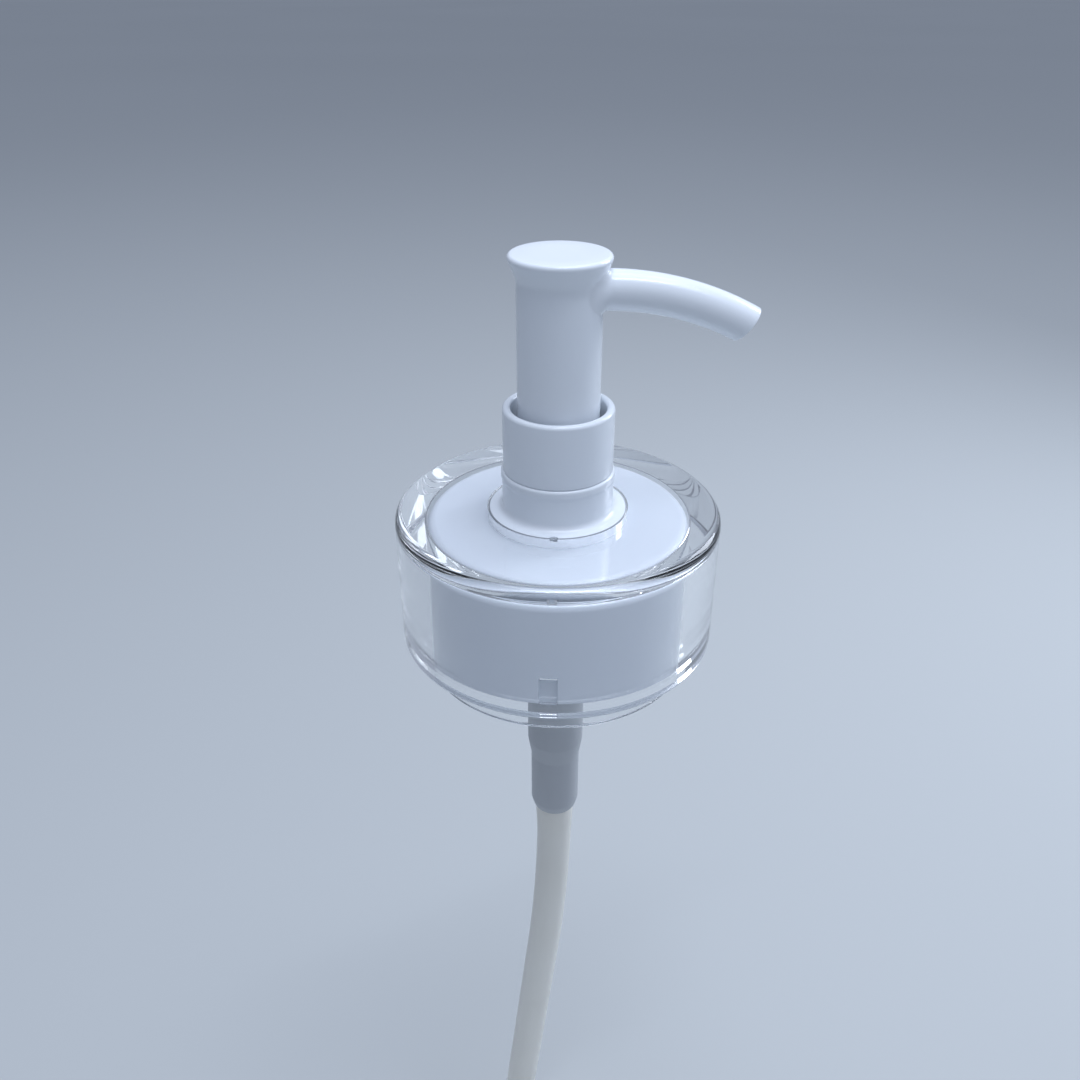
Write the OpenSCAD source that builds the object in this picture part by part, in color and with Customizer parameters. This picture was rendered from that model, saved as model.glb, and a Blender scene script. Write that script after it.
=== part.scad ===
// Lotion pump head with a clear acrylic over-shell, a white screw closure and a dip tube.
// +Z is up and the spout points along +X. The origin is on the pump's axis, at the level
// where the underside of the gasket meets the top of the bottle neck.
// Lengths are in millimetres, angles in degrees.

/* [Clear shell] */
// Outer diameter of the clear shell
shell_d = 52; // [51:0.5:56]
// Thickness of the clear top plate
plate_t = 4; // [3:0.25:5]
// Radial thickness of the clear side wall
shell_wall = 4.7; // [4.2:0.1:5.0]
// Height of the clear side wall, from the top plate's upper face
shell_h = 22.95; // [21:0.05:25]
// Diameter of the spigot under the side wall
spigot_d = 44.6; // [44:0.1:46]
// How far the spigot reaches below the side wall
spigot_h = 4.45; // [3:0.05:8]
// Radius of the rounded upper outer edge
shell_round = 1.6; // [0.8:0.1:2]
// Direction of the moulded key and gate mark round the axis
key_angle = 266; // [0:1:359]

/* [Inner cap] */
// Thickness of the white disc under the clear plate
cap_disc_t = 1.4; // [1:0.1:2]
// Radius of the rounded upper outer edge of the white cap
cap_round = 1.5; // [1:0.1:1.6]
// Wall thickness of the white skirt
cap_wall = 1.2; // [1:0.1:1.6]
// Number of ribs that grip the screw closure
cap_ribs = 8; // [4:4:12]

/* [Screw closure] */
// Thickness of the closure's disc
closure_disc_t = 1.4; // [1:0.1:2]
// Radius at the root of the internal thread
thread_root_r = 12.15; // [12.1:0.05:12.3]
// How far the thread stands in from its root
thread_depth = 1.0; // [0.7:0.1:1.1]
// Rise of the thread in one turn
thread_pitch = 3.175; // [2.5:0.025:3.5]
// Number of turns of thread
thread_turns = 1.5; // [1:0.25:2]
// Outer radius of the turret that stands through the shell
turret_r = 8.95; // [8.8:0.05:9.1]
// Height of the turret above the clear plate
turret_h = 6.7; // [5:0.1:8]
// Radius of the boss that fills the hole in the clear plate
boss_r = 11; // [10.7:0.1:11.5]

/* [Pump body] */
// Thickness of the neck gasket
gasket_t = 1.2; // [0.8:0.1:1.6]
// Thickness of the housing's flange
flange_t = 1.3; // [1:0.1:1.6]
// Radius of the cylinder bore
bore_r = 4; // [4:0.05:4.1]
// Outer radius of the cylinder
cylinder_r = 5; // [4.9:0.05:5.3]
// Outer radius of the foot that holds the dip tube
foot_r = 4.4; // [4.3:0.05:4.6]
// Outer radius of the visible collar ring
collar_r = 8.63; // [8.55:0.02:8.75]
// Height of the visible collar ring
collar_h = 10.3; // [8:0.1:11]

/* [Plunger] */
// Travel of the plunger when the head is pressed
stroke = 12; // [8:0.5:12]
// Outer radius of the stem
stem_r = 3; // [2.9:0.02:3]
// Outer radius of the head's tube
head_r = 6.32; // [6.1:0.02:6.5]
// Radius of the finger pad on top
pad_r = 7.57; // [7.2:0.01:8]
// Slope of the flare under the pad, from the vertical
flare_slope = 23; // [15:1:30]
// Radius of the spout's outside
spout_r = 3; // [2.8:0.1:3.2]
// Radius of the spout's channel
channel_r = 1.6; // [1.2:0.1:1.8]
// Bend radius of the spout's centre line
spout_bend = 43.5; // [40:0.5:60]
// Angle through which the spout turns down
spout_turn = 28; // [10:1:32]
// Slant of the spout's end face, top forward
tip_slant = 10; // [5:1:15]

/* [Spring and balls] */
// Wire diameter of the return spring
wire_d = 0.7; // [0.5:0.05:0.75]
// Mean radius of the spring's coil
coil_r = 2.95; // [2.85:0.05:3.1]
// Number of turns, with one closed turn at each end
coil_turns = 8; // [6:1:8]
// Radius of the inlet ball
inlet_ball_r = 2; // [1.9:0.05:2.1]
// Radius of the outlet ball
outlet_ball_r = 1.6; // [1.5:0.05:1.65]

/* [Dip tube] */
// Outer radius of the dip tube
tube_r = 3.3; // [3.1:0.05:3.35]
// Wall thickness of the dip tube
tube_wall = 0.85; // [0.6:0.05:1]
// Bend radius of the set below the housing
tube_bend = 380; // [300:10:800]
// Length of that bent stretch
tube_bend_len = 40; // [20:1:60]
// Length of the straight stretch below the bend, on its longer side
tube_end_len = 65; // [30:1:120]
// Slant of the cut at the tube's end
tube_cut = 35; // [0:5:45]

/* [Hidden] */
$fn = 96;

white = [0.93, 0.94, 0.95];
natural = [0.88, 0.90, 0.88];
clear = [0.82, 0.90, 0.95, 0.35];
steel = [0.70, 0.72, 0.74];
foam = [0.80, 0.81, 0.80];

eps = 0.01;           // overshoot of a cutting shape
face_gap = 0.05;      // gap between two stacked faces
film_gap = 0.1;       // air film between the clear plate and the white disc
fine_edge = 0.15;     // smallest broken edge
break_edge = 0.2;     // broken edge of the clear shell
edge = 0.3;           // usual chamfer of a moulded edge
lead_in = 0.4;        // chamfer that guides one piece into another

// Levels of the stacked flanges above the neck
flange_top = gasket_t + flange_t;
closure_disc_z = flange_top + face_gap;
cap_disc_z = closure_disc_z + closure_disc_t + face_gap;
plate_z = cap_disc_z + cap_disc_t + film_gap;
plate_top = plate_z + plate_t;
wall_z = plate_top - shell_h;
skirt_rise = 1.05;    // the white cap, the closure and the key end this far above the clear wall
skirt_z = wall_z + skirt_rise;

// Clear shell
shell_r = shell_d / 2;
shell_in_r = shell_r - shell_wall;
spigot_r = spigot_d / 2;
spigot_z = wall_z - spigot_h;
hole_r = boss_r + 0.13;
foot_round = 1;       // rounded lower outer edge of the clear wall
key_w = 2.5;
key_h = 4.65;
key_depth = 0.75;
gate_r = 0.6;         // half-round gate mark in the rim of the hole
gate_h = 1.2;
gate_gap = 0.12;
shell_corner = 0.4;

// Inner cap
cap_r = shell_in_r - 0.35;
cap_foot_r = shell_in_r - face_gap;
rib_t = 0.9;
rib_h = 12;

// Screw closure
skirt_wall = 1.45;
skirt_r = thread_root_r + skirt_wall;
closure_bore_r = 7.98;
turret_top = plate_top + turret_h;
turret_round = 0.7;
turret_fillet = 1.2;
core_in_r = 9.15;     // cored groove under the boss
core_out_r = 10.15;
core_top = plate_top - 1.6;
thread_start_z = skirt_z + 2.2;
thread_steps = 24;    // facets of the thread in one turn
thread_fade = 30;     // angle over which each end of the thread fades out
thread_crest = 0.45;  // half height of the thread at its crest
thread_base = 0.95;   // half height of the thread at its root

// Pump body
gasket_in_r = 8.0;
gasket_out_r = 10.7;
flange_r = 10.6;
cup_r = 7.9;
cup_in_r = 7.05;
cup_z = -5;
snap_z = -1.8;        // level of the snap bead that holds the collar
snap_h = 0.9;
snap_depth = 0.2;
cage_h = 2.2;
cage_roof = 0.8;
ball_room_r = 2.6;
inlet_r = 1.2;
foot_z = -55.1;
foot_chamfer_h = 1.6;
foot_chamfer = 0.45;
bend_z = -57.2;       // level where the dip tube starts to bend
vent_r = 0.5;
vent_z = -9.1;

// Lock collar
ring_z = turret_top + face_gap;
ring_top = ring_z + collar_h;
ring_in_r = 7.35;
ring_round = 0.56;
barrel_r = 7.9;
barrel_in_r = 7;
plug_in_r = 6.2;
plug_z = -4;
floor_z = flange_top + 0.4;
floor_t = 1.3;
guide_r = stem_r + 0.06;
guide_out_r = 4.6;
guide_low_r = 3.85;
guide_low_z = -4.4;
guide_bottom = -9.8;
wiper_z = 7.4;
wiper_h = 1.6;
wiper_r = 3.95;

// Plunger
shoulder_top = guide_bottom - face_gap;
shoulder_h = 1.55;
shoulder_r = 3.7;
stem_foot = shoulder_top - shoulder_h;
stem_bore_r = 1.5;
rod_plug_r = 2;
rod_plug_h = 6;
rod_neck_r = 2.2;
rod_bore_r = 1.1;
rod_flange_r = 3.3;
rod_flange_t = 1.2;
rod_pilot_h = 1.8;
seal_h = 6.3;
seal_r = bore_r - 0.02;
seal_in_r = rod_neck_r + 0.03;
seal_z = stem_foot - face_gap - seal_h;
rod_flange_z = seal_z - face_gap - rod_flange_t;

// Bottom of the cylinder, set by the travel and the length of the fully pressed spring
pressed_spring = 6.6;
cage_z = rod_flange_z - stroke - pressed_spring - cage_h;
seat_z = cage_z - 3.5;
socket_top = seat_z - 2.7;
cylinder_end = cage_z + 1;
foot_start = cage_z - 2.8;
cup_floor = cup_z - 0.6;
cup_taper_end = cup_z - 4.1;
bore_start = cup_z - 3.2;

// Head
head_z = 17.7;
socket_z = 25.2;
socket_r = 4.2;
head_wall = 1.02;
ceiling_z = 40.1;
spout_z = 44.2;
spout_start = 6.8;
pad_top = 49.4;
pad_round = 0.6;
flare_round = 3;
riser_r = 1.7;
bar_t = 0.8;

// Outlet valve in the top of the stem
throat_r = 1;
throat_z = ceiling_z - 4.4;
outlet_room_r = 2.1;

// A ball on a 45 degree cone sits this far above the cone's narrow end
function ball_rise(r, cone_r) = r * sqrt(2) - cone_r;
ball_gap = 0.02;
inlet_ball_z = seat_z + ball_rise(inlet_ball_r, inlet_r) + ball_gap;
outlet_ball_z = throat_z + ball_rise(outlet_ball_r, throat_r) + ball_gap;

// Points of an arc round centre c from angle a0 to a1
function arc(c, r, a0, a1, n = 8) =
    [for (i = [0:n]) let (a = a0 + (a1 - a0) * i / n) c + r * [cos(a), sin(a)]];

// Joins the outlines of equal rings into the surface of one closed sweep
function sweep_faces(rings, sides) = concat(
    [[for (j = [0:sides - 1]) j]],
    [for (i = [0:rings - 2], j = [0:sides - 1]) let (k = (j + 1) % sides)
        [i * sides + j, (i + 1) * sides + j, (i + 1) * sides + k, i * sides + k]],
    [[for (j = [sides - 1:-1:0]) (rings - 1) * sides + j]]);

module lathe(outline) {
    rotate_extrude() polygon(outline);
}

module ring(r_out, r_in, z0, z1) {
    rotate_extrude() translate([r_in, z0]) square([r_out - r_in, z1 - z0]);
}

// Bent rod that starts at the origin along +X and turns down towards -Z
module bent_rod(r, bend, turn) {
    translate([0, 0, -bend])
        rotate(a = -120, v = [1, 1, 1])
            rotate_extrude(angle = turn) translate([bend, 0]) circle(r);
}

module head_outside() {
    lean = 1 - cos(flare_slope);
    cone_w = pad_r - head_r - (pad_round + flare_round) * lean;
    cone_h = cone_w / tan(flare_slope);
    flare_z = pad_top - pad_round - cone_h - (pad_round + flare_round) * sin(flare_slope);
    inside_r = head_r - head_wall;
    roof_z = ceiling_z + 0.5;
    lathe(concat(
        [[0, ceiling_z], [stem_r, ceiling_z], [stem_r, socket_z], [socket_r, socket_z],
         [socket_r, roof_z], [inside_r, roof_z], [inside_r, head_z + edge],
         [inside_r + edge, head_z], [head_r - edge, head_z], [head_r, head_z + edge]],
        arc([head_r + flare_round, flare_z], flare_round, 180, 180 - flare_slope),
        arc([pad_r - pad_round, pad_top - pad_round], pad_round, -flare_slope, 90),
        [[0, pad_top]]));
}

module actuator_head() {
    tip_spare = 1.5;
    tip_cut = 4 * spout_r;
    tip_x = spout_start + spout_bend * sin(spout_turn);
    tip_z = spout_z - spout_bend * (1 - cos(spout_turn));
    color(white) {
        difference() {
            union() {
                head_outside();
                translate([0, 0, spout_z]) rotate([0, 90, 0]) cylinder(r = spout_r, h = spout_start);
                translate([spout_start, 0, spout_z]) bent_rod(spout_r, spout_bend, spout_turn + tip_spare);
            }
            translate([0, 0, ceiling_z - eps]) cylinder(r = riser_r, h = spout_z + channel_r - ceiling_z);
            translate([0, 0, spout_z]) rotate([0, 90, 0]) cylinder(r = channel_r, h = spout_start);
            translate([spout_start, 0, spout_z]) bent_rod(channel_r, spout_bend, spout_turn + tip_spare + 1);
            translate([tip_x, 0, tip_z]) rotate([0, spout_turn + tip_slant, 0])
                translate([0, -tip_cut / 2, -tip_cut / 2]) cube(tip_cut);
        }
        translate([-riser_r - 0.2, -bar_t / 2, ceiling_z]) cube([2 * riser_r + 0.4, bar_t, 1]);
    }
}

module stem() {
    color(white)
        lathe([[rod_plug_r, stem_foot], [shoulder_r, stem_foot], [shoulder_r, shoulder_top],
               [stem_r, shoulder_top], [stem_r, ceiling_z], [outlet_room_r, ceiling_z],
               [outlet_room_r, throat_z + outlet_room_r - throat_r], [throat_r, throat_z],
               [throat_r, throat_z - 1.1], [stem_bore_r, throat_z - 1.6],
               [stem_bore_r, stem_foot + rod_plug_h + 0.4], [rod_plug_r, stem_foot + rod_plug_h]]);
}

module piston_rod() {
    pilot_z = rod_flange_z - rod_pilot_h;
    color(white)
        lathe([[rod_bore_r, pilot_z], [rod_neck_r - lead_in, pilot_z], [rod_neck_r, pilot_z + lead_in],
               [rod_neck_r, rod_flange_z], [rod_flange_r, rod_flange_z],
               [rod_flange_r, rod_flange_z + rod_flange_t], [rod_neck_r, rod_flange_z + rod_flange_t],
               [rod_neck_r, stem_foot], [rod_plug_r, stem_foot],
               [rod_plug_r, stem_foot + rod_plug_h - 0.4], [rod_plug_r - 0.3, stem_foot + rod_plug_h - 0.1],
               [rod_bore_r, stem_foot + rod_plug_h - 0.1]]);
}

// Hub with a soft lip at each end that wipes the cylinder bore
module piston_seal() {
    waist_r = seal_r - 0.8;
    root_r = seal_in_r + 0.55;
    top = seal_z + seal_h;
    color(natural)
        lathe([[seal_in_r, seal_z + 0.9], [root_r, seal_z + 0.9], [seal_r - 0.45, seal_z],
               [seal_r, seal_z], [seal_r, seal_z + 0.5], [waist_r, seal_z + 1.7],
               [waist_r, top - 1.7], [seal_r, top - 0.5], [seal_r, top], [seal_r - 0.45, top],
               [root_r, top - 0.9], [root_r, top], [seal_in_r, top]]);
}

module outlet_ball() {
    color(steel) translate([0, 0, outlet_ball_z]) sphere(outlet_ball_r);
}

// Compression spring with one closed turn at each end
module return_spring() {
    sides = 8;
    steps = 18;
    rings = coil_turns * steps + 1;
    low = cage_z + cage_h + wire_d / 2;
    high = rod_flange_z - wire_d / 2;
    open_rise = high - low - 2 * wire_d;
    function lift(t) = low + wire_d * min(t, 1) + wire_d * max(t - coil_turns + 1, 0)
        + open_rise * min(max(t - 1, 0) / (coil_turns - 2), 1);
    points = [for (i = [0:rings - 1], j = [0:sides - 1])
        let (t = i / steps, a = 360 * t, b = -360 * j / sides, r = coil_r + wire_d / 2 * cos(b))
        [r * cos(a), r * sin(a), lift(t) + wire_d / 2 * sin(b)]];
    color(steel) polyhedron(points, sweep_faces(rings, sides), convexity = 10);
}

// Visible ring, barrel inside the turret, snap plug inside the housing and guide for the stem
module lock_collar() {
    color(white)
        lathe(concat(
            [[guide_r, guide_bottom], [guide_low_r, guide_bottom], [guide_low_r, guide_low_z],
             [guide_out_r, guide_low_z + lead_in], [guide_out_r, floor_z], [plug_in_r, floor_z],
             [plug_in_r, plug_z], [cup_in_r - edge, plug_z], [cup_in_r, plug_z + edge],
             [cup_in_r, snap_z - snap_h / 2], [cup_in_r + snap_depth, snap_z],
             [cup_in_r, snap_z + snap_h / 2], [cup_in_r, flange_top], [barrel_r, flange_top],
             [barrel_r, ring_z], [collar_r - fine_edge, ring_z], [collar_r, ring_z + fine_edge]],
            arc([collar_r - ring_round, ring_top - ring_round], ring_round, 0, 90),
            arc([ring_in_r + ring_round, ring_top - ring_round], ring_round, 90, 180),
            [[ring_in_r, ring_z + 1], [barrel_in_r, ring_z - 0.5], [barrel_in_r, floor_z + floor_t],
             [guide_out_r, floor_z + floor_t], [guide_out_r, wiper_z + wiper_h],
             [wiper_r, wiper_z + wiper_h], [wiper_r, wiper_z], [guide_r, wiper_z]]));
}

module stem_wiper() {
    lip_r = stem_r + 0.02;
    top = wiper_z + wiper_h;
    color(natural)
        lathe([[lip_r + 0.3, wiper_z], [wiper_r, wiper_z], [wiper_r, top], [lip_r + 0.35, top],
               [lip_r, top - 0.2], [lip_r, top - 0.5], [lip_r + 0.3, top - 0.9]]);
}

module housing() {
    seat_top = seat_z + ball_room_r - inlet_r;
    color(white) difference() {
        lathe([[cup_in_r, flange_top], [flange_r, flange_top], [flange_r, gasket_t], [cup_r, gasket_t],
               [cup_r, cup_floor], [cylinder_r, cup_taper_end], [cylinder_r, cylinder_end],
               [foot_r, foot_start], [foot_r, foot_z + foot_chamfer_h], [foot_r - foot_chamfer, foot_z],
               [tube_r + edge, foot_z], [tube_r, foot_z + lead_in], [tube_r, socket_top],
               [inlet_r, socket_top], [inlet_r, seat_z], [ball_room_r, seat_top],
               [ball_room_r, cage_z], [bore_r, cage_z],
               [bore_r, bore_start], [cup_in_r, cup_z], [cup_in_r, snap_z - snap_h / 2],
               [cup_in_r + snap_depth, snap_z], [cup_in_r, snap_z + snap_h / 2]]);
        translate([0, 0, vent_z]) rotate([90, 0, 0]) cylinder(r = vent_r, h = 2 * cylinder_r);
    }
}

// Spring seat that also keeps the inlet ball in its chamber
module valve_cage() {
    slot_ring = 1.6;
    slot_r = 0.65;
    color(white) difference() {
        translate([0, 0, cage_z]) cylinder(r = bore_r, h = cage_h);
        translate([0, 0, cage_z - eps]) cylinder(r = ball_room_r + 0.05, h = cage_h - cage_roof + eps);
        for (a = [0:90:270])
            rotate([0, 0, a]) translate([slot_ring, 0, cage_z]) cylinder(r = slot_r, h = cage_h + eps);
    }
}

module inlet_ball() {
    color(clear) translate([0, 0, inlet_ball_z]) sphere(inlet_ball_r);
}

// Centre line of the dip tube in the XZ plane, at distance s below the start of its bend
function tube_turn(s) = min(max(s, 0), tube_bend_len) / tube_bend * 180 / PI;
function tube_heading(s) = [-sin(tube_turn(s)), -cos(tube_turn(s))];
function tube_centre(s) = tube_bend * [cos(tube_turn(s)) - 1, -sin(tube_turn(s))]
    + (min(s, 0) + max(s - tube_bend_len, 0)) * tube_heading(s);

// Solid rod of radius r along the dip tube, longer than the tube by extra at both ends
module tube_rod(r, extra = 0) {
    sides = 24;
    steps = 8;
    stations = concat([bend_z - socket_top - extra], [for (i = [0:steps]) i * tube_bend_len / steps],
                      [tube_bend_len + tube_end_len + extra]);
    points = [for (s = stations, j = [0:sides - 1])
        let (b = 360 * j / sides, c = tube_centre(s), h = tube_heading(s))
        [c[0] - r * cos(b) * h[1], -r * sin(b), bend_z + c[1] + r * cos(b) * h[0]]];
    polyhedron(points, sweep_faces(len(stations), sides), convexity = 4);
}

// Straight top held in the foot, one gentle bend, then a straight end with a slanted cut
module dip_tube() {
    tip = tube_centre(tube_bend_len + tube_end_len);
    cut = 8 * tube_r;
    color(natural) difference() {
        tube_rod(tube_r);
        tube_rod(tube_r - tube_wall, 1);
        translate([tip[0] + tube_r, 0, bend_z + tip[1]])
            rotate([0, tube_turn(tube_bend_len) - tube_cut, 0])
                translate([-cut, -cut / 2, -cut]) cube(cut);
    }
}

module neck_gasket() {
    color(foam) ring(gasket_out_r, gasket_in_r, 0, gasket_t);
}

// Internal thread ridge, faded out at both ends
module thread_ridge() {
    rings = thread_turns * thread_steps + 1;
    turn = 360 * thread_turns;
    base_r = thread_root_r + 0.2;
    function crest_r(a) = thread_root_r + 0.1
        - (thread_depth + 0.1) * min(1, (a + 1) / thread_fade, (turn - a + 1) / thread_fade);
    points = [for (i = [0:rings - 1])
        let (a = i * 360 / thread_steps, z = thread_start_z + thread_pitch * a / 360, c = crest_r(a))
        each [for (p = [[base_r, -thread_base], [c, -thread_crest],
                        [c, thread_crest], [base_r, thread_base]])
            [p[0] * cos(a), p[0] * sin(a), z + p[1]]]];
    polyhedron(points, sweep_faces(rings, 4), convexity = 6);
}

module threaded_closure() {
    disc_top = closure_disc_z + closure_disc_t;
    color(white) difference() {
        union() {
            lathe(concat(
                [[closure_bore_r, closure_disc_z], [core_in_r, closure_disc_z], [core_in_r, core_top],
                 [core_out_r, core_top], [core_out_r, closure_disc_z], [thread_root_r, closure_disc_z],
                 [thread_root_r, skirt_z + edge], [thread_root_r + edge, skirt_z], [skirt_r, skirt_z],
                 [skirt_r, disc_top - edge], [skirt_r - edge, disc_top], [boss_r, disc_top],
                 [boss_r, plate_top - edge], [boss_r - edge, plate_top]],
                arc([turret_r + turret_fillet, plate_top + turret_fillet], turret_fillet, 270, 180),
                arc([turret_r - turret_round, turret_top - turret_round], turret_round, 0, 90),
                [[closure_bore_r, turret_top]]));
            thread_ridge();
        }
        rotate([0, 0, key_angle]) translate([hole_r, 0, plate_top - gate_h - gate_gap])
            cylinder(r = gate_r + gate_gap, h = gate_h + 1);
    }
}

module inner_cap() {
    cap_in_r = cap_r - cap_wall;
    cap_top = plate_z - film_gap;
    recess_w = key_w + 0.15;
    recess_h = key_h + 0.15;
    color(white) difference() {
        union() {
            lathe(concat(
                [[boss_r + 0.1, cap_disc_z], [cap_in_r, cap_disc_z], [cap_in_r, skirt_z],
                 [cap_foot_r, skirt_z]],
                arc([cap_r - cap_round, cap_top - cap_round], cap_round, 0, 90),
                [[boss_r + 0.1, cap_top]]));
            for (i = [0:cap_ribs - 1])
                rotate([0, 0, (i + 0.5) * 360 / cap_ribs])
                    translate([skirt_r + face_gap, -rib_t / 2, cap_disc_z - rib_h])
                        cube([cap_in_r - skirt_r + 0.3, rib_t, rib_h + 0.3]);
        }
        rotate([0, 0, key_angle]) translate([shell_in_r - key_depth - 0.1, -recess_w / 2, skirt_z - eps])
            cube([key_depth + 1, recess_w, recess_h]);
    }
}

module acrylic_shell() {
    color(clear) {
        lathe(concat(
            [[hole_r, plate_z], [shell_in_r - shell_corner, plate_z], [shell_in_r, plate_z - shell_corner],
             [shell_in_r, spigot_z + break_edge], [shell_in_r + break_edge, spigot_z],
             [spigot_r - break_edge, spigot_z], [spigot_r, spigot_z + break_edge], [spigot_r, wall_z]],
            arc([shell_r - foot_round, wall_z + foot_round], foot_round, 270, 360),
            arc([shell_r - shell_round, plate_top - shell_round], shell_round, 0, 90),
            [[hole_r + break_edge, plate_top], [hole_r, plate_top - break_edge]]));
        rotate([0, 0, key_angle]) {
            translate([shell_in_r - key_depth, -key_w / 2, skirt_z]) cube([key_depth + 0.2, key_w, key_h]);
            translate([hole_r, 0, plate_top - gate_h]) cylinder(r = gate_r, h = gate_h);
        }
    }
}

actuator_head();
stem();
piston_rod();
piston_seal();
outlet_ball();
return_spring();
lock_collar();
stem_wiper();
housing();
valve_cage();
inlet_ball();
dip_tube();
neck_gasket();
threaded_closure();
inner_cap();
acrylic_shell();
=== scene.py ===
"""Looks of a lotion pump head with a clear acrylic shell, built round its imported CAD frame.

Outlines and details are in millimetres, in the frame's own axes: +Z up along the stem, +X along the
spout. Radii and levels come from the boxes of the CAD nodes; wall thicknesses and rounds are named here.
"""

from math import ceil, cos, pi, radians, sin, sqrt, tan

import bmesh
import bpy
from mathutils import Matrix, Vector


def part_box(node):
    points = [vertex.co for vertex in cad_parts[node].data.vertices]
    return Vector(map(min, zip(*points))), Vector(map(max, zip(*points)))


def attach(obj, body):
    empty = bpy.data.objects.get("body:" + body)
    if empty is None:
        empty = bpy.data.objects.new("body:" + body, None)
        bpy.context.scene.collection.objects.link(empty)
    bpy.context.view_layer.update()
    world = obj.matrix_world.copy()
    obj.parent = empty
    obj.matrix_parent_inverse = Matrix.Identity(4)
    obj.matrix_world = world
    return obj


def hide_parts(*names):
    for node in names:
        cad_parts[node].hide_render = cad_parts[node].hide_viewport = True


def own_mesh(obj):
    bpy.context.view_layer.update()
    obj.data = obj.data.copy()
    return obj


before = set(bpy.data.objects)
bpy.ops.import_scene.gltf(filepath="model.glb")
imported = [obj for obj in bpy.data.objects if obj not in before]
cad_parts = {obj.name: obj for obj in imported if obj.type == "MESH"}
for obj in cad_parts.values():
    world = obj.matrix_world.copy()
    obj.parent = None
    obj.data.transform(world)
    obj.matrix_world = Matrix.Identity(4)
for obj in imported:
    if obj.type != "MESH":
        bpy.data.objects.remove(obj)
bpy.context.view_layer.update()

MM = 0.001
TURN = 2 * pi


def extent(node):
    """Outer radius, bottom and top of a turned CAD node, in millimetres."""
    low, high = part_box(node)
    return high.y / MM, low.z / MM, high.z / MM


SHELL_R, SPIGOT_Z, PLATE_TOP = extent("acrylic_shell")
CAP_FOOT_R, SKIRT_Z, CAP_TOP = extent("inner_cap")
SKIRT_R, _, TURRET_TOP = extent("threaded_closure")
COLLAR_R, GUIDE_Z, COLLAR_TOP = extent("lock_collar")
PAD_R, HEAD_Z, PAD_TOP = extent("actuator_head")
FLANGE_R, FOOT_Z, FLANGE_TOP = extent("housing")
TUBE_R, TUBE_END, SOCKET_TOP = extent("dip_tube")
SPRING_R, SPRING_FOOT, SPRING_TOP = extent("return_spring")
STEM_R = 3.0
STEM_TOP = extent("stem")[2]
GASKET_TOP = extent("neck_gasket")[2]
CAGE_Z = extent("valve_cage")[1]

# Rounds of moulded edges, and the gap between two stacked faces
CRISP = 0.05
FINE = 0.1
EDGE = 0.2
SOFT = 0.3
WIDE = 0.4
FACE_GAP = 0.05

# Clear shell
PLATE_T = 4.0
SHELL_IN_R = CAP_FOOT_R + FACE_GAP
SHELL_ROUND = 1.6
SHELL_FOOT_ROUND = 1.0
SPIGOT_STEP = 3.7
SPIGOT_R = SHELL_R - SPIGOT_STEP
SKIRT_RISE = 1.05
WALL_Z = SKIRT_Z - SKIRT_RISE
HOLE_R = 11.13
HOLE_FOOT_ROUND = 0.03
KEY_ANGLE = radians(266)
KEY_W = 2.5
KEY_H = 4.65
KEY_DEPTH = 0.75
GATE_R = 0.6
GATE_H = 1.2
GATE_GAP = 0.12
KEY_PLAY = 0.075
KEY_FACE_PLAY = 0.1

# Inner cap
CAP_DISC_T = 1.4
CAP_WALL = 1.2
CAP_DRAFT = 0.35
CAP_R = SHELL_IN_R - CAP_DRAFT
CAP_ROUND = 1.5
CAP_CORNER = 0.5
CAP_RIBS = 8
RIB_T = 0.9
RIB_H = 12.0

# Screw closure
CLOSURE_DISC_T = 1.4
CLOSURE_DISC_Z = FLANGE_TOP + FACE_GAP
CLOSURE_BORE_R = 7.98
BOSS_R = 11.0
CAP_HOLE_R = BOSS_R + 0.02
CORE_IN_R = 9.15
CORE_OUT_R = 10.15
CORE_TOP = PLATE_TOP - 1.6
# Painted shade on the boss's flank below the plate's top: darkest down to the first depth, faded to white
# at the second
GAP_SHADE_DARKEST_H = 0.8
GAP_SHADE_H = 3.4
TURRET_R = 8.95
TURRET_FILLET = 1.2
TURRET_ROUND = 0.7
BEAD = 0.15
BEAD_H = 1.2
BEAD_SLOPE_H = 0.5
THREAD_ROOT_R = 12.15
THREAD_CREST_R = 11.15
THREAD_PITCH = 3.175
THREAD_TURNS = 1.5
THREAD_START = 2.2
THREAD_STEPS = 48
THREAD_FADE = 5
THREAD_END = 0.3

# Lock collar and housing
COLLAR_H = 10.3
RING_IN_R = 7.35
BARREL_R = 7.9
BARREL_IN_R = 7.0
CUP_R = 7.9
CUP_IN_R = 7.05
CUP_Z = -5.0
SNAP_Z = -1.8
SNAP_HALF_H = 0.45
SNAP_DEPTH = 0.2
CYLINDER_R = 5.0
BORE_R = 4.0
FOOT_R = 4.4
FOOT_CHAMFER = 0.45
FOOT_CHAMFER_H = 1.6

# Head and spout
HEAD_R = 6.32
HEAD_WALL = 1.02
SOCKET_Z = 25.2
SOCKET_R = 4.2
FLARE_SLOPE = radians(23)
FLARE_ROUND = 3.0
PAD_ROUND = 0.6
SPOUT_Z = 44.2
SPOUT_START = 6.8
SPOUT_BEND = 43.5
SPOUT_TURN = radians(28)
SPOUT_ROOT_R = 2.98
SPOUT_TIP_R = 2.9
SPOUT_BLEND_TOP = 0.45
SPOUT_BLEND_SIDE = 2.0
TIP_SLANT = tan(radians(10))
TIP_ROUND = 0.15
LIP_ROUND = 0.12
CHANNEL_R = 1.6
CROWN_DIP = 0.05

# Spring and dip tube
WIRE_R = 0.35
COIL_TURNS = 8
TUBE_WALL = 0.85
BEND_Z = -57.2
TUBE_BEND = 380.0
TUBE_BEND_LEN = 40.0
TUBE_CUT = radians(35)
TUBE_SWELL = 0.25
TUBE_SWELL_LEN = 10.0

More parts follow.
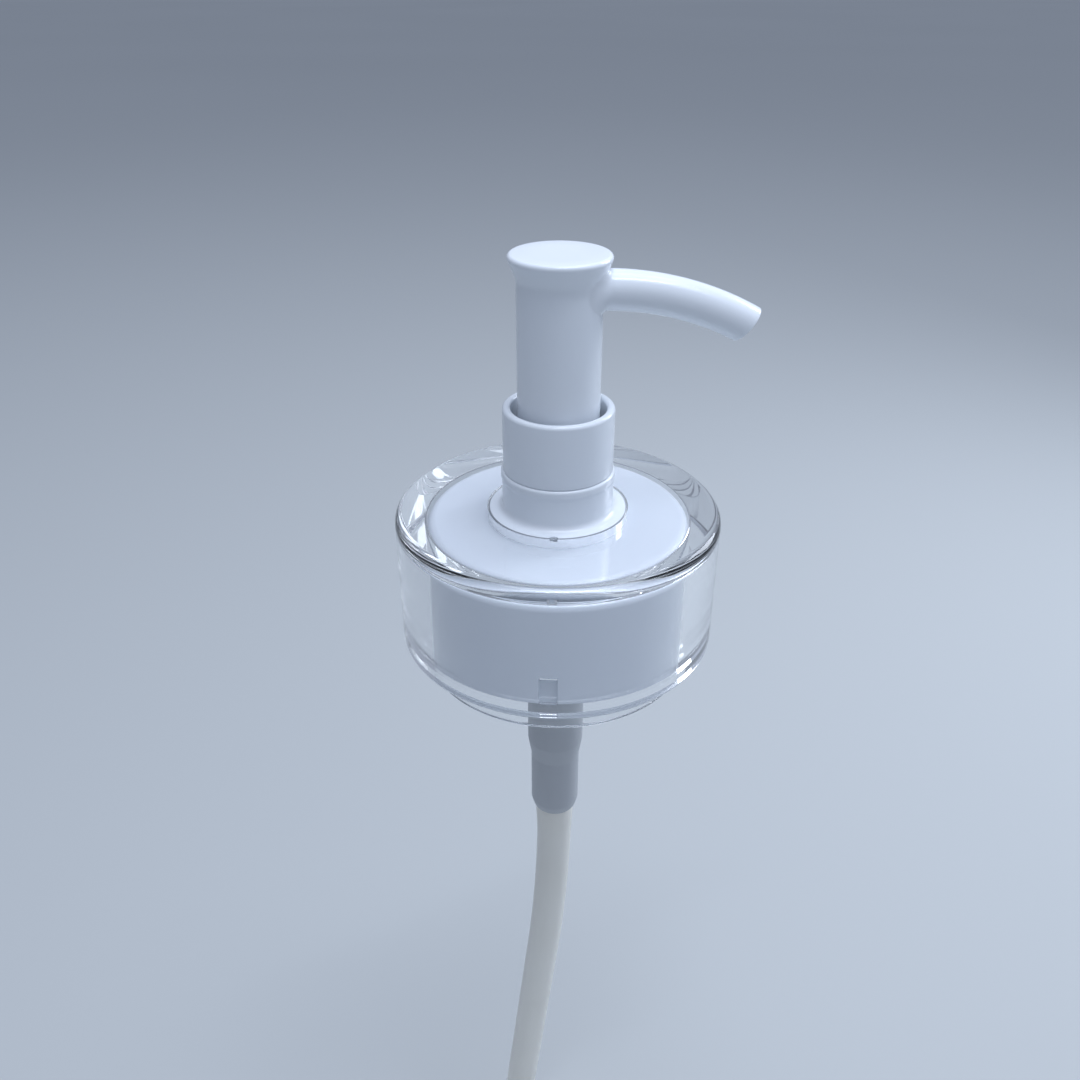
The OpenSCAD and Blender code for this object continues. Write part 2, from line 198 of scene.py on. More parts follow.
# Fineness of the turned and swept surfaces
TURNED_SIDES = 192
SHELL_SIDES = 256
ROUND_STEP = radians(15)
SHARP_ANGLE = radians(40)


# ---------------------------------------------------------------- outlines and meshes

def rounded(corners):
    """Closed outline of (radius, height) points from corners (radius, height, round)."""
    nearly_straight, longest_share = radians(88), 0.48
    points = []
    for i, (r, z, size) in enumerate(corners):
        here = Vector((r, z))
        back = Vector(corners[i - 1][:2]) - here
        ahead = Vector(corners[(i + 1) % len(corners)][:2]) - here
        half = back.angle(ahead) / 2
        if size == 0 or half > nearly_straight:
            points.append(here)
            continue
        trim = min(size / tan(half), longest_share * back.length, longest_share * ahead.length)
        reach = trim * tan(half)
        centre = here + (back.normalized() + ahead.normalized()).normalized() * reach / sin(half)
        first = here + back.normalized() * trim - centre
        last = here + ahead.normalized() * trim - centre
        sweep = pi - 2 * half
        steps = max(2, ceil(sweep / ROUND_STEP))
        for k in range(steps + 1):
            a = sweep * k / steps
            points.append(centre + (first * sin(sweep - a) + last * sin(a)) / sin(sweep))
    return points


def skin(bm, rings, closed=False):
    """Joins rings of equal length, given as lists of vertices, into a skin; closed joins last to first."""
    pairs = list(zip(rings, rings[1:]))
    if closed:
        pairs.append((rings[-1], rings[0]))
    for a, b in pairs:
        for j in range(len(a)):
            k = (j + 1) % len(a)
            bm.faces.new((a[j], a[k], b[k], b[j]))


def add_turned(bm, points, sides=TURNED_SIDES):
    """Adds the solid that a closed outline sweeps round the Z axis."""
    rings = [[bm.verts.new((r * cos(TURN * j / sides), r * sin(TURN * j / sides), z)) for j in range(sides)]
             for r, z in points]
    skin(bm, rings, closed=True)


def add_swept(bm, rings, capped=True):
    """Adds a sweep through rings of points, with flat ends if capped. Returns its vertices ring by ring."""
    verts = [[bm.verts.new(p) for p in ring] for ring in rings]
    skin(bm, verts)
    if capped:
        bm.faces.new(verts[0])
        bm.faces.new(reversed(verts[-1]))
    return verts


def add_block(bm, low, high, angle=0.0):
    """Adds a block between two corners, turned round the Z axis."""
    c, s = cos(angle), sin(angle)
    ring = [(low[0], low[1]), (high[0], low[1]), (high[0], high[1]), (low[0], high[1])]
    add_swept(bm, [[Vector((x * c - y * s, x * s + y * c, z)) for x, y in ring]
                   for z in (low[2], high[2])])


def build(name, fill):
    """Makes an object from fill(bm), which works in millimetres. Its sharp edges stay crisp."""
    bm = bmesh.new()
    fill(bm)
    bmesh.ops.remove_doubles(bm, verts=bm.verts, dist=1e-4)
    bmesh.ops.dissolve_degenerate(bm, edges=bm.edges, dist=1e-5)
    bmesh.ops.recalc_face_normals(bm, faces=bm.faces)
    bmesh.ops.scale(bm, vec=(MM, MM, MM), verts=bm.verts)
    mesh = bpy.data.meshes.new(name)
    bm.to_mesh(mesh)
    bm.free()
    mesh.shade_smooth()
    mesh.set_sharp_from_angle(angle=SHARP_ANGLE)
    obj = bpy.data.objects.new(name, mesh)
    bpy.context.scene.collection.objects.link(obj)
    return obj


def settle(obj):
    """Applies the modifiers of a piece to its own mesh."""
    view = bpy.context.evaluated_depsgraph_get()
    mesh = bpy.data.meshes.new_from_object(obj.evaluated_get(view))
    obj.modifiers.clear()
    obj.data = mesh
    mesh.shade_smooth()
    mesh.set_sharp_from_angle(angle=SHARP_ANGLE)


def carve(obj, operation, *tools):
    """Joins other solids to a piece, or cuts them out of it, and removes them."""
    for tool in tools:
        step = obj.modifiers.new(tool.name, "BOOLEAN")
        step.operation = operation
        step.solver = "EXACT"
        step.object = tool
    settle(obj)
    for tool in tools:
        bpy.data.objects.remove(tool)


def even_shading(obj):
    """Keeps large flat faces flat where small rounds meet them."""
    weighted = obj.modifiers.new("even shading", "WEIGHTED_NORMAL")
    weighted.keep_sharp = True
    weighted.weight = 100


def place(obj, material, body, node):
    """Gives a piece its material and body, and hides its CAD node."""
    obj.data.materials.append(material)
    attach(obj, body)
    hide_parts(node)


# ---------------------------------------------------------------- materials

def start_material(name):
    """A new material with a Principled shader: (material, tree, shader)."""
    material = bpy.data.materials.new(name)
    material.use_nodes = True
    tree = material.node_tree
    return material, tree, tree.nodes["Principled BSDF"]


def grain(tree, size_mm, detail=3.0, stretch=(1, 1, 1)):
    """Noise from 0 to 1 whose features are about size_mm across, drawn out along the stretched axes."""
    place_node = tree.nodes.new("ShaderNodeTexCoord")
    mapping = tree.nodes.new("ShaderNodeMapping")
    mapping.inputs["Scale"].default_value = [1 / (size_mm * MM * s) for s in stretch]
    noise = tree.nodes.new("ShaderNodeTexNoise")
    noise.inputs["Scale"].default_value = 1.0
    noise.inputs["Detail"].default_value = detail
    tree.links.new(place_node.outputs["Object"], mapping.inputs["Vector"])
    tree.links.new(mapping.outputs["Vector"], noise.inputs["Vector"])
    return noise.outputs["Fac"]


def between(tree, factor, low, high):
    """Number that runs from low to high as the noise runs over its usual range."""
    node = tree.nodes.new("ShaderNodeMapRange")
    node.inputs["From Min"].default_value = 0.3
    node.inputs["From Max"].default_value = 0.7
    node.inputs["To Min"].default_value = low
    node.inputs["To Max"].default_value = high
    tree.links.new(factor, node.inputs["Value"])
    return node.outputs["Result"]


def tint(tree, factor, first, second):
    """Colour that runs from first to second as the noise runs over its usual range."""
    node = tree.nodes.new("ShaderNodeMix")
    node.data_type = "RGBA"
    node.inputs["A"].default_value = (*first, 1)
    node.inputs["B"].default_value = (*second, 1)
    tree.links.new(between(tree, factor, 0, 1), node.inputs["Factor"])
    return node.outputs["Result"]


def relief(tree, shader, height, depth_mm):
    """Fine bump of the given depth."""
    bump = tree.nodes.new("ShaderNodeBump")
    bump.inputs["Strength"].default_value = 1.0
    bump.inputs["Distance"].default_value = depth_mm * MM
    tree.links.new(height, bump.inputs["Height"])
    tree.links.new(bump.outputs["Normal"], shader.inputs["Normal"])


def moulded_plastic(name, light, dark, gloss):
    """Injection-moulded plastic: faint cloudiness, uneven gloss and the slight ripple of the mould."""
    ripple_mm, gloss_spread, glow, glow_mm = 0.0015, 0.02, 0.12, 0.8
    material, tree, shader = start_material(name)
    clouds = grain(tree, 9.0, stretch=(1, 1, 2.5))
    ripple = grain(tree, 5.0, detail=1.0)
    tree.links.new(tint(tree, clouds, light, dark), shader.inputs["Base Color"])
    patches = grain(tree, 12.0, detail=1.0)
    tree.links.new(between(tree, patches, gloss - gloss_spread, gloss + gloss_spread),
                   shader.inputs["Roughness"])
    relief(tree, shader, ripple, ripple_mm)
    shader.inputs["IOR"].default_value = 1.49
    shader.inputs["Subsurface Weight"].default_value = glow
    shader.inputs["Subsurface Radius"].default_value = (1.0, 1.0, 1.0)
    shader.inputs["Subsurface Scale"].default_value = glow_mm * MM
    return material


def painted_gap_shade(name, light, dark, gloss):
    """White plastic of the boss's flank with painted shade: dark grey where it meets the rim of the hole,
    fading to white further down.
    """
    material, tree, shader = start_material(name)
    where = tree.nodes.new("ShaderNodeTexCoord")
    split = tree.nodes.new("ShaderNodeSeparateXYZ")
    ramp = tree.nodes.new("ShaderNodeMapRange")
    ramp.interpolation_type = "SMOOTHSTEP"
    ramp.inputs["From Min"].default_value = (PLATE_TOP - GAP_SHADE_H) * MM
    ramp.inputs["From Max"].default_value = (PLATE_TOP - GAP_SHADE_DARKEST_H) * MM
    mix = tree.nodes.new("ShaderNodeMix")
    mix.data_type = "RGBA"
    mix.inputs["A"].default_value = (*light, 1)
    # The painted shade of the gap: dark grey with a faint mottle
    tree.links.new(tint(tree, grain(tree, 2.0), dark, [0.9 * c for c in dark]), mix.inputs["B"])
    tree.links.new(where.outputs["Object"], split.inputs["Vector"])
    tree.links.new(split.outputs["Z"], ramp.inputs["Value"])
    tree.links.new(ramp.outputs["Result"], mix.inputs["Factor"])
    tree.links.new(mix.outputs["Result"], shader.inputs["Base Color"])
    shader.inputs["Roughness"].default_value = gloss
    return material


def clear_plastic(name, colour, ior, haze):
    """Polished clear plastic or glass. Soft light goes straight through it on to what it covers."""
    material, tree, shader = start_material(name)
    shader.inputs["Base Color"].default_value = (*colour, 1)
    shader.inputs["Transmission Weight"].default_value = 1.0
    shader.inputs["IOR"].default_value = ior
    tree.links.new(between(tree, grain(tree, 6.0), 0.0, haze), shader.inputs["Roughness"])
    relief(tree, shader, grain(tree, 7.0, detail=1.0), 0.004)
    path = tree.nodes.new("ShaderNodeLightPath")
    soft = tree.nodes.new("ShaderNodeMath")
    soft.operation = "MAXIMUM"
    through = tree.nodes.new("ShaderNodeBsdfTransparent")
    through.inputs["Color"].default_value = (*[0.94 * c for c in colour], 1)
    mix = tree.nodes.new("ShaderNodeMixShader")
    tree.links.new(path.outputs["Is Shadow Ray"], soft.inputs[0])
    tree.links.new(path.outputs["Is Diffuse Ray"], soft.inputs[1])
    tree.links.new(soft.outputs["Value"], mix.inputs[0])
    tree.links.new(shader.outputs["BSDF"], mix.inputs[1])
    tree.links.new(through.outputs["BSDF"], mix.inputs[2])
    tree.links.new(mix.outputs["Shader"], tree.nodes["Material Output"].inputs["Surface"])
    return material


def milky_plastic(name):
    """Natural polyethylene of the dip tube: cloudy, with faint draw lines along its length."""
    material, tree, shader = start_material(name)
    lines = grain(tree, 0.5, detail=2.0, stretch=(1, 1, 60))
    tree.links.new(tint(tree, grain(tree, 12.0), (0.93, 0.89, 0.79), (0.96, 0.92, 0.82)),
                   shader.inputs["Base Color"])
    tree.links.new(between(tree, lines, 0.34, 0.46), shader.inputs["Roughness"])
    relief(tree, shader, lines, 0.01)
    shader.inputs["IOR"].default_value = 1.51
    shader.inputs["Subsurface Weight"].default_value = 0.5
    shader.inputs["Subsurface Radius"].default_value = (1.0, 1.0, 1.0)
    shader.inputs["Subsurface Scale"].default_value = 1.5 * MM
    return material


def metal(name, light, dark, gloss, lines):
    """Stainless steel with fine drawing or polishing marks."""
    material, tree, shader = start_material(name)
    marks = grain(tree, 0.3, stretch=lines)
    tree.links.new(tint(tree, marks, light, dark), shader.inputs["Base Color"])
    tree.links.new(between(tree, marks, gloss - 0.05, gloss + 0.08), shader.inputs["Roughness"])
    relief(tree, shader, marks, 0.002)
    shader.inputs["Metallic"].default_value = 1.0
    return material


def foam(name):
    """Closed-cell foam sheet with small pits."""
    material, tree, shader = start_material(name)
    cells = tree.nodes.new("ShaderNodeTexVoronoi")
    cells.inputs["Scale"].default_value = 1 / (0.35 * MM)
    where = tree.nodes.new("ShaderNodeTexCoord")
    tree.links.new(where.outputs["Object"], cells.inputs["Vector"])
    tree.links.new(tint(tree, cells.outputs["Distance"], (0.84, 0.85, 0.84), (0.76, 0.77, 0.77)),
                   shader.inputs["Base Color"])
    relief(tree, shader, cells.outputs["Distance"], 0.05)
    shader.inputs["Roughness"].default_value = 0.8
    return material


def floor_paint(name):
    """Pale matt studio floor."""
    material, tree, shader = start_material(name)
    tree.links.new(tint(tree, grain(tree, 900.0, detail=0.0), (0.51, 0.53, 0.53), (0.52, 0.54, 0.54)),
                   shader.inputs["Base Color"])
    shader.inputs["Roughness"].default_value = 0.85
    return material


# ---------------------------------------------------------------- pieces

def acrylic_shell(material):
    """Clear over-shell: thick plate, thick wall, lower spigot, moulded key and gate mark."""
    plate_z = PLATE_TOP - PLATE_T
    outline = rounded([
        (HOLE_R, plate_z, HOLE_FOOT_ROUND), (SHELL_IN_R, plate_z, WIDE), (SHELL_IN_R, SPIGOT_Z, EDGE),
        (SPIGOT_R, SPIGOT_Z, EDGE), (SPIGOT_R, WALL_Z, FINE), (SHELL_R, WALL_Z, SHELL_FOOT_ROUND),
        (SHELL_R, PLATE_TOP, SHELL_ROUND), (HOLE_R, PLATE_TOP, EDGE)])
    embed = 0.2
    key_low = (SHELL_IN_R - KEY_DEPTH, -KEY_W / 2, SKIRT_Z)
    key_high = (SHELL_IN_R + embed, KEY_W / 2, SKIRT_Z + KEY_H)
    shell = build("acrylic_shell_clear", lambda bm: add_turned(bm, outline, SHELL_SIDES))
    key = build("shell_key", lambda bm: add_block(bm, key_low, key_high, KEY_ANGLE))
    gate = build("shell_gate", lambda bm: add_gate(
        bm, GATE_R, PLATE_TOP - GATE_H, PLATE_TOP - FACE_GAP))
    carve(shell, "UNION", key, gate)
    even_shading(shell)
    place(shell, material, "closure", "acrylic_shell")


def add_gate(bm, radius, bottom, top, sides=24):
    """Adds the small round gate mark in the rim of the plate's hole."""
    x, y = HOLE_R * cos(KEY_ANGLE), HOLE_R * sin(KEY_ANGLE)
    add_swept(bm, [[Vector((x + radius * cos(TURN * j / sides), y + radius * sin(TURN * j / sides), z))
                    for j in range(sides)] for z in (bottom, top)])


def inner_cap(material):
    """White cap under the clear shell, with ribs that grip the closure and a recess for the key."""
    in_r = CAP_R - CAP_WALL
    disc_z = CAP_TOP - CAP_DISC_T
    rib_embed, overshoot = 0.3, 1
    outline = rounded([
        (CAP_HOLE_R, disc_z, FINE), (in_r, disc_z, CAP_CORNER), (in_r, SKIRT_Z, EDGE),
        (CAP_FOOT_R, SKIRT_Z, 0.15), (CAP_R, CAP_TOP, CAP_ROUND), (CAP_HOLE_R, CAP_TOP, 0)])
    recess_low = (SHELL_IN_R - KEY_DEPTH - KEY_FACE_PLAY, -KEY_W / 2 - KEY_PLAY, SKIRT_Z - overshoot)
    recess_high = (SHELL_IN_R + overshoot, KEY_W / 2 + KEY_PLAY, SKIRT_Z + KEY_H + 2 * KEY_PLAY)

    def fill(bm):
        add_turned(bm, outline)
        for i in range(CAP_RIBS):
            add_block(bm, (SKIRT_R + FACE_GAP, -RIB_T / 2, disc_z - RIB_H),
                      (in_r + rib_embed, RIB_T / 2, disc_z + rib_embed), (i + 0.5) * TURN / CAP_RIBS)

    cap = build("inner_cap_white", fill)
    carve(cap, "DIFFERENCE",
          build("key_recess", lambda bm: add_block(bm, recess_low, recess_high, KEY_ANGLE)))
    even_shading(cap)
    place(cap, material, "closure", "inner_cap")


def add_thread(bm):
    """Adds the ridge of the internal thread, faded out at both ends."""
    root_half, flank_half, crest_half = 0.95, 0.5, 0.35
    sink, shoulder, flank = 0.2, 0.1, 0.12
    steps = round(THREAD_TURNS * THREAD_STEPS)
    rings = []
    for i in range(steps + 1):
        a = TURN * THREAD_TURNS * i / steps
        z = SKIRT_Z + THREAD_START + THREAD_PITCH * a / TURN
        fade = min(1, (i + THREAD_END) / THREAD_FADE, (steps - i + THREAD_END) / THREAD_FADE)
        crest = THREAD_ROOT_R + shoulder - (THREAD_ROOT_R + shoulder - THREAD_CREST_R) * fade
        ridge = [(THREAD_ROOT_R + sink, -root_half), (crest + flank, -flank_half), (crest, -crest_half),
                 (crest, crest_half), (crest + flank, flank_half), (THREAD_ROOT_R + sink, root_half)]
        rings.append([Vector((r * cos(a), r * sin(a), z + dz)) for r, dz in ridge])
    add_swept(bm, rings)


def threaded_closure(material, gap_shade_material):
    """Screw closure with its boss and turret, which stand through the clear plate."""
    disc_top = CLOSURE_DISC_Z + CLOSURE_DISC_T
    bead_z = TURRET_TOP - BEAD_H
    outline = rounded([
        (CLOSURE_BORE_R, CLOSURE_DISC_Z, EDGE), (CORE_IN_R, CLOSURE_DISC_Z, FINE),
        (CORE_IN_R, CORE_TOP, EDGE), (CORE_OUT_R, CORE_TOP, EDGE), (CORE_OUT_R, CLOSURE_DISC_Z, FINE),
        (THREAD_ROOT_R, CLOSURE_DISC_Z, SOFT), (THREAD_ROOT_R, SKIRT_Z, SOFT), (SKIRT_R, SKIRT_Z, 0.15),
        (SKIRT_R, disc_top, SOFT), (BOSS_R, disc_top, EDGE), (BOSS_R, PLATE_TOP, SOFT),
        (TURRET_R - BEAD, PLATE_TOP, TURRET_FILLET), (TURRET_R - BEAD, bead_z - BEAD_SLOPE_H, 1.5),
        (TURRET_R, bead_z, 0.5), (TURRET_R, TURRET_TOP, TURRET_ROUND), (CLOSURE_BORE_R, TURRET_TOP, FINE)])

    def fill(bm):
        add_turned(bm, outline)
        add_thread(bm)

    closure = build("threaded_closure_white", fill)
    carve(closure, "DIFFERENCE", build("gate_notch", lambda bm: add_gate(
        bm, GATE_R + GATE_GAP, PLATE_TOP - GATE_H - GATE_GAP, PLATE_TOP + 1)))
    even_shading(closure)
    place(closure, material, "closure", "threaded_closure")
    # Painted shade on the boss's flank, for the dark gap at the rim of the clear plate's hole
    paint_flank_shade(closure, gap_shade_material)


def paint_flank_shade(closure, material):
    """Gives the boss's flank, inside the hole of the clear plate, a material of its own with painted shade.
    """
    closure.data.materials.append(material)
    reach_in, reach_out = 0.35, 0.05
    for face in closure.data.polygons:
        x, y, z = (v / MM for v in face.center)
        on_flank = BOSS_R - reach_in < sqrt(x * x + y * y) < BOSS_R + reach_out
        if on_flank and PLATE_TOP - PLATE_T < z < PLATE_TOP - FACE_GAP:
            face.material_index = 1


def snap_bead():
    """Corners of the snap bead that holds the collar in the housing, from below upwards."""
    return [(CUP_IN_R, SNAP_Z - SNAP_HALF_H, CRISP), (CUP_IN_R + SNAP_DEPTH, SNAP_Z, FINE),
            (CUP_IN_R, SNAP_Z + SNAP_HALF_H, CRISP)]


def lock_collar(material):
    """Visible ring, barrel inside the turret, snap plug and the guide for the stem."""
    ring_z = COLLAR_TOP - COLLAR_H
    plug_z, plug_in_r = -4.0, 6.2
    floor_z = FLANGE_TOP + 0.4
    floor_top = floor_z + 1.3
    guide_r = STEM_R + 0.06
    guide_out_r, guide_low_r, guide_low_z = 4.6, 3.85, -4.2
    wiper_z, wiper_top, wiper_r = 7.4, 9.0, 3.95
    outline = rounded([
        (guide_r, GUIDE_Z, FINE), (guide_low_r, GUIDE_Z, FINE), (guide_low_r, guide_low_z, EDGE),
        (guide_out_r, plug_z, EDGE), (guide_out_r, floor_z, WIDE), (plug_in_r, floor_z, WIDE),
        (plug_in_r, plug_z, EDGE), (CUP_IN_R, plug_z, SOFT)] + snap_bead() + [
        (CUP_IN_R, FLANGE_TOP, CRISP), (BARREL_R, FLANGE_TOP, FINE), (BARREL_R, ring_z, CRISP),
        (COLLAR_R, ring_z, 0.18), (COLLAR_R, COLLAR_TOP, 0.56), (RING_IN_R, COLLAR_TOP, 0.5),
        (RING_IN_R, ring_z + 1, EDGE), (BARREL_IN_R, ring_z - 0.5, EDGE),
        (BARREL_IN_R, floor_top, WIDE), (guide_out_r, floor_top, SOFT), (guide_out_r, wiper_top, 0.15),
        (wiper_r, wiper_top, CRISP), (wiper_r, wiper_z, CRISP), (guide_r, wiper_z, CRISP)])
    collar = build("lock_collar_white", lambda bm: add_turned(bm, outline))
    even_shading(collar)
    place(collar, material, "pump_body", "lock_collar")


def housing(material):
    """Flange, cup, cylinder and the foot that holds the dip tube."""
    seat_z, ball_room_r, inlet_r = -43.3, 2.6, 1.2
    step_round, foot_round, lip_round = 0.8, 0.6, 0.12
    outline = rounded([
        (CUP_IN_R, FLANGE_TOP, FINE), (FLANGE_R, FLANGE_TOP, 0.15), (FLANGE_R, GASKET_TOP, FINE),
        (CUP_R, GASKET_TOP, EDGE), (CUP_R, CUP_Z - 0.6, step_round), (CYLINDER_R, CUP_Z - 4.1, step_round),
        (CYLINDER_R, CAGE_Z + 1, step_round), (FOOT_R, CAGE_Z - 2.8, step_round),
        (FOOT_R, FOOT_Z + FOOT_CHAMFER_H, foot_round), (FOOT_R - FOOT_CHAMFER, FOOT_Z, lip_round),
        (TUBE_R, FOOT_Z, lip_round), (TUBE_R, SOCKET_TOP, 0), (inlet_r, SOCKET_TOP, FINE),
        (inlet_r, seat_z, CRISP), (ball_room_r, seat_z + ball_room_r - inlet_r, FINE),
        (ball_room_r, CAGE_Z, CRISP), (BORE_R, CAGE_Z, 0), (BORE_R, CUP_Z - 3.2, SOFT),
        (CUP_IN_R, CUP_Z, SOFT)] + snap_bead())
    body = build("housing_white", lambda bm: add_turned(bm, outline))
    even_shading(body)
    place(body, material, "pump_body", "housing")


def flare_start():
    """Level at which the head's tube starts to widen into the pad."""
    rounds = PAD_ROUND + FLARE_ROUND
    cone_w = PAD_R - HEAD_R - rounds * (1 - cos(FLARE_SLOPE))
    return PAD_TOP - PAD_ROUND - cone_w / tan(FLARE_SLOPE) - rounds * sin(FLARE_SLOPE)


def flare_radius(z):
    """Outer radius of the head at height z, where a round and a cone widen the tube into the pad."""
    rise = max(z - flare_start(), 0)
    round_rise = FLARE_ROUND * sin(FLARE_SLOPE)
    if rise < round_rise:
        return HEAD_R + FLARE_ROUND - sqrt(FLARE_ROUND ** 2 - rise ** 2)
    return HEAD_R + FLARE_ROUND * (1 - cos(FLARE_SLOPE)) + (rise - round_rise) * tan(FLARE_SLOPE)


def add_head(bm):
    """Adds the tube, the flared pad and the socket for the stem."""
    in_r = HEAD_R - HEAD_WALL
    ceiling = STEM_TOP
    start = flare_start()
    socket_round, foot_round = 0.15, 0.25
    flare_steps, rim_steps = 14, 10
    inside = rounded([
        (0, ceiling, 0), (STEM_R, ceiling, 0), (STEM_R, SOCKET_Z, socket_round),
        (SOCKET_R, SOCKET_Z, socket_round), (SOCKET_R, ceiling + 0.5, EDGE), (in_r, ceiling + 0.5, EDGE),
        (in_r, HEAD_Z, SOFT), (HEAD_R, HEAD_Z, foot_round), (HEAD_R, start - 2, 0)])[:-1]
    rim_z = PAD_TOP - PAD_ROUND
    cone_top = rim_z - PAD_ROUND * sin(FLARE_SLOPE)
    flare = [Vector((flare_radius(z), z))
             for z in [start + (cone_top - start) * i / flare_steps for i in range(flare_steps + 1)]]
    rim_turn = pi / 2 + FLARE_SLOPE
    rim = [Vector((PAD_R - PAD_ROUND + PAD_ROUND * cos(a), rim_z + PAD_ROUND * sin(a)))
           for a in [-FLARE_SLOPE + rim_turn * i / rim_steps for i in range(1, rim_steps + 1)]]
    crown = [Vector((PAD_R * 0.6, PAD_TOP - 0.6 * CROWN_DIP)), Vector((0, PAD_TOP - CROWN_DIP))]
    add_turned(bm, inside + flare + rim + crown)


def spout_ring(centre, heading, radius, sides, slant=0.0):
    """Ring round the spout's centre line. A slant moves its top forward and its bottom back."""
    up = Vector((-heading.z, 0, heading.x))
    return [centre + (up + heading * slant) * (radius * cos(a)) + Vector((0, radius * sin(a), 0))
            for a in [TURN * j / sides for j in range(sides)]]


def spout_root_ring(t, sides, sink=0.0):
    """Ring of the fillet between head and spout, from the head's wall (t = 0) to the spout (90 degrees)."""
    points = []
    for j in range(sides):
        a = TURN * j / sides
        blend = SPOUT_BLEND_TOP + (SPOUT_BLEND_SIDE - SPOUT_BLEND_TOP) * sin(a) ** 2
        radius = SPOUT_ROOT_R + blend * (1 - sin(t))
        y, z = radius * sin(a), SPOUT_Z + radius * cos(a)
        points.append(Vector((sqrt(flare_radius(z) ** 2 - y ** 2) + blend * (1 - cos(t)) - sink, y, z)))
    return points


def spout_centre(a):
    """Point and heading of the spout's centre line after it has turned down by a."""
    return (Vector((SPOUT_START + SPOUT_BEND * sin(a), 0, SPOUT_Z - SPOUT_BEND * (1 - cos(a)))),
            Vector((cos(a), 0, -sin(a))))


def add_spout(bm, sides=64):
    """Adds the spout: a fillet on the head's wall, a tapering bend, a rounded tip and its channel."""
    root_steps, bend_steps, tip_steps, lip_steps = 12, 28, 5, 3
    first_bend_step = 3
    sink = 0.02
    rings = [spout_root_ring(pi / 2 * i / root_steps, sides, sink * (i == 0))
             for i in range(root_steps + 1)]
    for i in range(first_bend_step, bend_steps):
        share = i / bend_steps
        centre, heading = spout_centre(SPOUT_TURN * share)
        radius = SPOUT_ROOT_R + (SPOUT_TIP_R - SPOUT_ROOT_R) * share
        rings.append(spout_ring(centre, heading, radius, sides))
    tip, heading = spout_centre(SPOUT_TURN)
    for i in range(tip_steps + 1):
        t = pi / 2 * i / tip_steps
        rings.append(spout_ring(tip - heading * TIP_ROUND * (1 - sin(t)), heading,
                                SPOUT_TIP_R - TIP_ROUND * (1 - cos(t)), sides, TIP_SLANT))
    for i in range(lip_steps + 1):
        t = pi / 2 * i / lip_steps
        rings.append(spout_ring(tip - heading * LIP_ROUND * (1 - cos(t)), heading,
                                CHANNEL_R + LIP_ROUND * (1 - sin(t)), sides, TIP_SLANT))
    for i in range(bend_steps - 2, -1, -2):
        centre, heading = spout_centre(SPOUT_TURN * i / bend_steps)
        rings.append(spout_ring(centre, heading, CHANNEL_R, sides))
    verts = add_swept(bm, rings, capped=False)
    bm.faces.new(verts[-1])


def actuator_head(material):
    """Push-down head: tube, flared pad and spout in one moulding."""
    def fill(bm):
        add_head(bm)
        add_spout(bm)

    head = build("actuator_head_white", fill)
    even_shading(head)
    place(head, material, "plunger", "actuator_head")


def return_spring(material):
    """Compression spring with one closed turn at each end."""
    sides, steps = 12, 36
    low, high = SPRING_FOOT + WIRE_R, SPRING_TOP - WIRE_R
    coil_r = SPRING_R - WIRE_R
    wire_d = 2 * WIRE_R
    open_rise = high - low - 2 * wire_d
    rings = []
    for i in range(COIL_TURNS * steps + 1):
        t = i / steps
        closed_turns = min(t, 1) + max(t - COIL_TURNS + 1, 0)
        z = low + wire_d * closed_turns + open_rise * min(max(t - 1, 0) / (COIL_TURNS - 2), 1)
        a = TURN * t
        ring = []
        for b in [TURN * j / sides for j in range(sides)]:
            r = coil_r + WIRE_R * cos(b)
            ring.append(Vector((r * cos(a), r * sin(a), z + WIRE_R * sin(b))))
        rings.append(ring)
    spring = build("return_spring_wire", lambda bm: add_swept(bm, rings))
    place(spring, material, "pump_body", "return_spring")
    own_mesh(spring)


def tube_centre(s):
    """Point and heading of the dip tube's centre line, at distance s below the start of its bend."""
    a = min(max(s, 0), TUBE_BEND_LEN) / TUBE_BEND
    heading = Vector((-sin(a), 0, -cos(a)))
    point = Vector((TUBE_BEND * (cos(a) - 1), 0, BEND_Z - TUBE_BEND * sin(a)))
    return point + heading * (min(s, 0) + max(s - TUBE_BEND_LEN, 0)), heading


def tube_ring(s, radius, sides, slant=0.0):
    """Ring round the dip tube. A slant moves its points along the tube, most on the -X side."""
    centre, heading = tube_centre(s)
    side = Vector((-heading.z, 0, heading.x))
    return [centre + side * (radius * cos(b)) + Vector((0, radius * sin(b), 0))
            + heading * (slant * radius * cos(b)) for b in [TURN * j / sides for j in range(sides)]]


def dip_tube(material):
    """Straight top held in the foot, one gentle bend, then a straight end with a slanted cut."""
    sides, swell_steps, bend_steps, end_steps = 48, 12, 16, 10
    first_bend_step = 4
    in_r = TUBE_R - TUBE_WALL
    last = tube_length()
    end_len = last - TUBE_BEND_LEN
    foot = BEND_Z - FOOT_Z
    stations = ([BEND_Z - SOCKET_TOP, foot]
                + [foot + TUBE_SWELL_LEN * i / swell_steps for i in range(1, swell_steps)]
                + [TUBE_BEND_LEN * i / bend_steps for i in range(first_bend_step, bend_steps + 1)]
                + [TUBE_BEND_LEN + end_len * i / end_steps for i in range(1, end_steps)])
    slant = tan(TUBE_CUT)
    outer = [tube_ring(s, TUBE_R + tube_swell(s - foot), sides) for s in stations]
    outer.append(tube_ring(last, TUBE_R, sides, slant))
    inner = [tube_ring(last, in_r, sides, slant)] + [tube_ring(s, in_r, sides) for s in reversed(stations)]

    def fill(bm):
        rings = [[bm.verts.new(p) for p in ring] for ring in outer + inner]
        skin(bm, rings, closed=True)

    tube = build("dip_tube_milky", fill)
    even_shading(tube)
    place(tube, material, "pump_body", "dip_tube")


def tube_swell(depth):
    """How much thicker the dip tube is at this depth below the housing's foot, where it was pressed in."""
    share = depth / TUBE_SWELL_LEN
    rise = 8
    if share <= 0 or share >= 1:
        return 0.0
    return TUBE_SWELL * min(share * rise, 1) * (1 + cos(pi * share)) / 2


